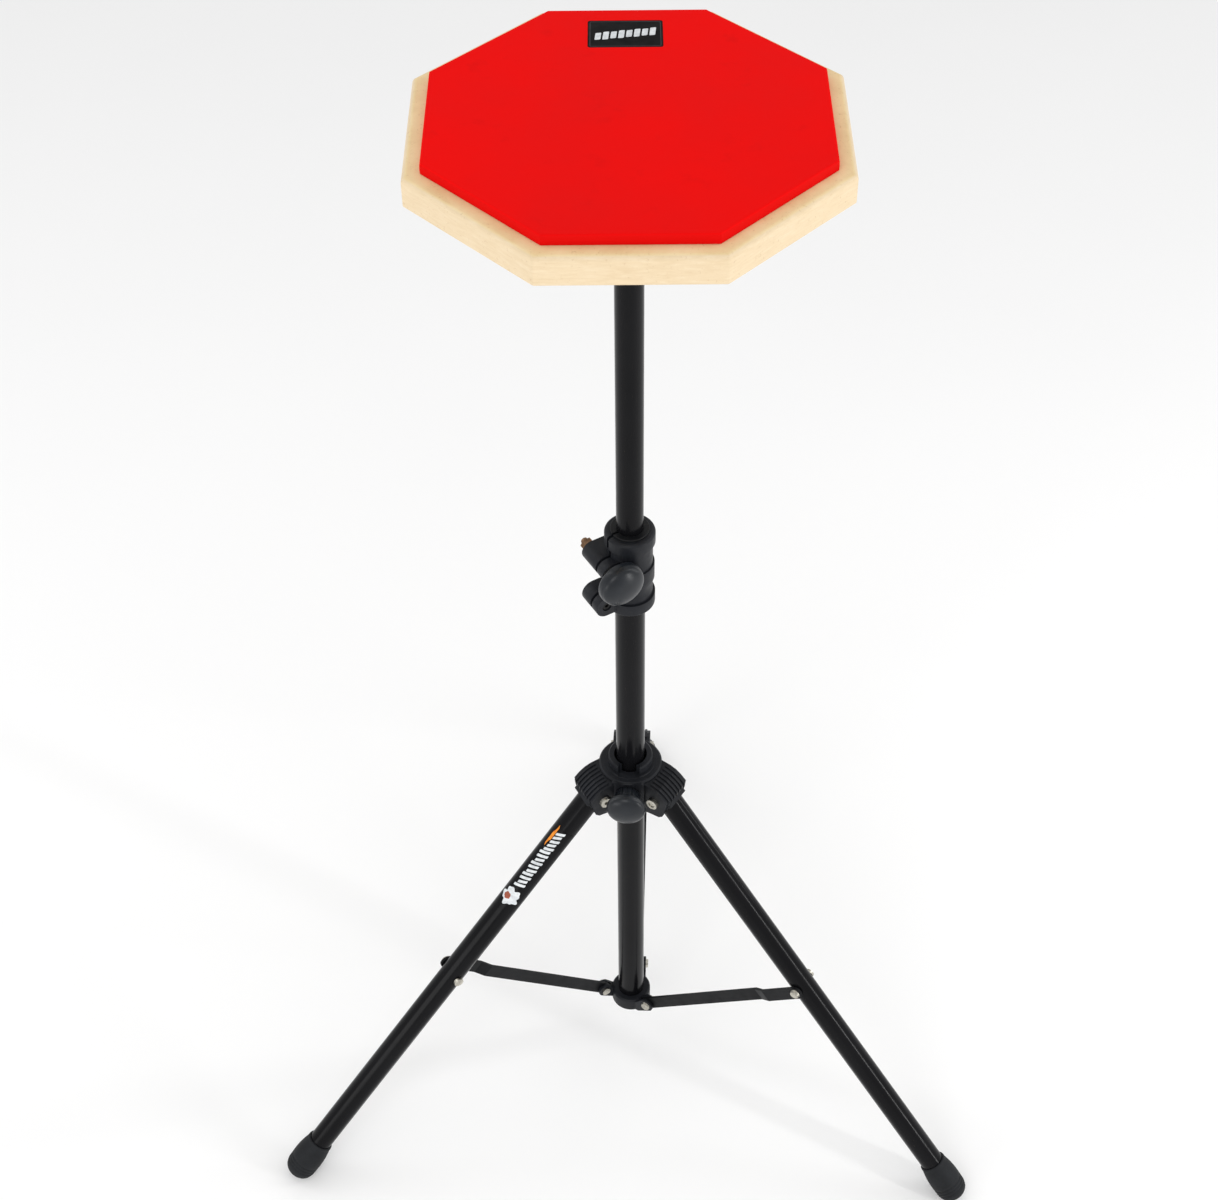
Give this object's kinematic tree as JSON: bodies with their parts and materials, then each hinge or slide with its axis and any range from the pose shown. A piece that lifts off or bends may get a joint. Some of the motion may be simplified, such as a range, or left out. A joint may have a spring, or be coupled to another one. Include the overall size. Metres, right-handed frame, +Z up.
{
  "type": "drum practice pad stand",
  "caption": "Octagonal drum practice pad: red rubber on a pale board, on a black telescopic mast with a folding braced tripod.",
  "frame": {"origin": "on the floor plane, on the centre line of the post", "axes": "+Z up along the post, +X to the player's right and +Y away from the player, the front of the pad facing -Y"},
  "size_m": [0.6528, 0.5834, 1.078],
  "materials": {
    "board_wood": "clear-lacquered pale wood fibre board",
    "pad_rubber": "matt red moulded rubber",
    "label_black": "black printed label with a pale border line",
    "zinc_steel": "bright zinc plate",
    "clamp_brass": "yellow passivated nut",
    "black_tube": "gloss black powder coat",
    "black_plastic": "satin black moulded nylon",
    "black_strap": "satin black painted flat steel",
    "foot_rubber": "matt black rubber",
    "decal_silver": "thin printed sticker"
  },
  "bodies": {
    "post": {"lower_tube": "black_tube", "post_cap": "black_plastic", "clamp_housing": "black_plastic", "clamp_bush": "black_plastic", "clamp_nut": "clamp_brass", "clamp_washer": "zinc_steel", "clamp_screw": "black_strap", "clamp_screw_nut": "black_strap", "lower_collar": "black_plastic", "collar_pins": "zinc_steel"},
    "hub": {"hub_body": "black_plastic", "hub_bush": "black_plastic", "hub_shoe": "black_plastic", "leg_pivot_screws": "zinc_steel", "leg_pivot_nuts": "zinc_steel"},
    "hub_lock": {"hub_knob": "black_plastic", "hub_knob_screw": "zinc_steel"},
    "clamp_lock": {"clamp_knob": "black_plastic", "clamp_bolt": "zinc_steel"},
    "mast": {"upper_tube": "black_tube", "mast_guide": "black_plastic", "mast_plug": "black_plastic", "pad_stud": "zinc_steel", "lock_nut": "zinc_steel", "lock_washer": "zinc_steel"},
    "head": {"pad_board": "board_wood", "striking_pad": "pad_rubber", "label_patch": "label_black", "mount_plate": "zinc_steel", "mount_plate_screws": "zinc_steel"},
    "leg_left": {"leg_tube_left": "black_tube", "leg_end_left": "black_plastic", "brace_screw_left": "zinc_steel", "foot_left": "foot_rubber", "leg_decal": "decal_silver"},
    "strut_left": {"brace_left": "black_strap", "brace_rivet_left": "zinc_steel"},
    "leg_right": {"leg_tube_right": "black_tube", "leg_end_right": "black_plastic", "brace_screw_right": "zinc_steel", "foot_right": "foot_rubber"},
    "strut_right": {"brace_right": "black_strap", "brace_rivet_right": "zinc_steel"},
    "leg_rear": {"leg_tube_rear": "black_tube", "leg_end_rear": "black_plastic", "brace_screw_rear": "zinc_steel", "foot_rear": "foot_rubber"},
    "strut_rear": {"brace_rear": "black_strap", "brace_rivet_rear": "zinc_steel"}
  },
  "joints": [
    {"name": "hub_slide", "type": "slide", "parent": "post", "child": "hub", "axis": [0, 0, 1], "range_m": [0, 0.1231]},
    {"name": "mast_slide", "type": "slide", "parent": "post", "child": "mast", "axis": [0, 0, 1], "range_m": [-0.3, 0.09]},
    {"name": "pad_turn", "type": "hinge", "parent": "mast", "child": "head", "pos_m": [0, 0, 1.05], "axis": [0, 0, 1], "range_deg": [-180, 180]},
    {"name": "clamp_knob_turn", "type": "hinge", "parent": "post", "child": "clamp_lock", "pos_m": [-0.01937, -0.01145, 0.667], "axis": [0.509, -0.8607, 0], "range_deg": [0, 360]},
    {"name": "hub_knob_turn", "type": "hinge", "parent": "hub", "child": "hub_lock", "pos_m": [-0.0039, -0.03981, 0.4], "axis": [-0.0976, -0.9952, 0], "range_deg": [0, 360]},
    {"name": "leg_left_fold", "type": "hinge", "parent": "hub", "child": "leg_left", "pos_m": [-0.03019, -0.01565, 0.394], "axis": [0.4602, -0.8878, 0], "range_deg": [0, 33.6]},
    {"name": "brace_left_fold", "type": "hinge", "parent": "post", "child": "strut_left", "pos_m": [-0.02308, -0.01196, 0.07], "axis": [-0.4602, 0.8878, 0], "range_deg": [0, 38.15]},
    {"name": "leg_right_fold", "type": "hinge", "parent": "hub", "child": "leg_right", "pos_m": [0.02864, -0.01832, 0.394], "axis": [0.5388, 0.8425, 0], "range_deg": [0, 33.6]},
    {"name": "brace_right_fold", "type": "hinge", "parent": "post", "child": "strut_right", "pos_m": [0.0219, -0.01401, 0.07], "axis": [-0.5388, -0.8425, 0], "range_deg": [0, 38.15]},
    {"name": "leg_rear_fold", "type": "hinge", "parent": "hub", "child": "leg_rear", "pos_m": [0.00154, 0.03397, 0.394], "axis": [-0.999, 0.0454, 0], "range_deg": [0, 33.6]},
    {"name": "brace_rear_fold", "type": "hinge", "parent": "post", "child": "strut_rear", "pos_m": [0.00118, 0.02597, 0.07], "axis": [0.999, -0.0454, 0], "range_deg": [0, 38.15]}
  ],
  "couplings": [
    {"joint": "leg_left_fold", "follows": "hub_slide", "rad_per_m": 4.7625},
    {"joint": "brace_left_fold", "follows": "hub_slide", "rad_per_m": 5.4071},
    {"joint": "leg_right_fold", "follows": "hub_slide", "rad_per_m": 4.7625},
    {"joint": "brace_right_fold", "follows": "hub_slide", "rad_per_m": 5.4071},
    {"joint": "leg_rear_fold", "follows": "hub_slide", "rad_per_m": 4.7625},
    {"joint": "brace_rear_fold", "follows": "hub_slide", "rad_per_m": 5.4071}
  ]
}
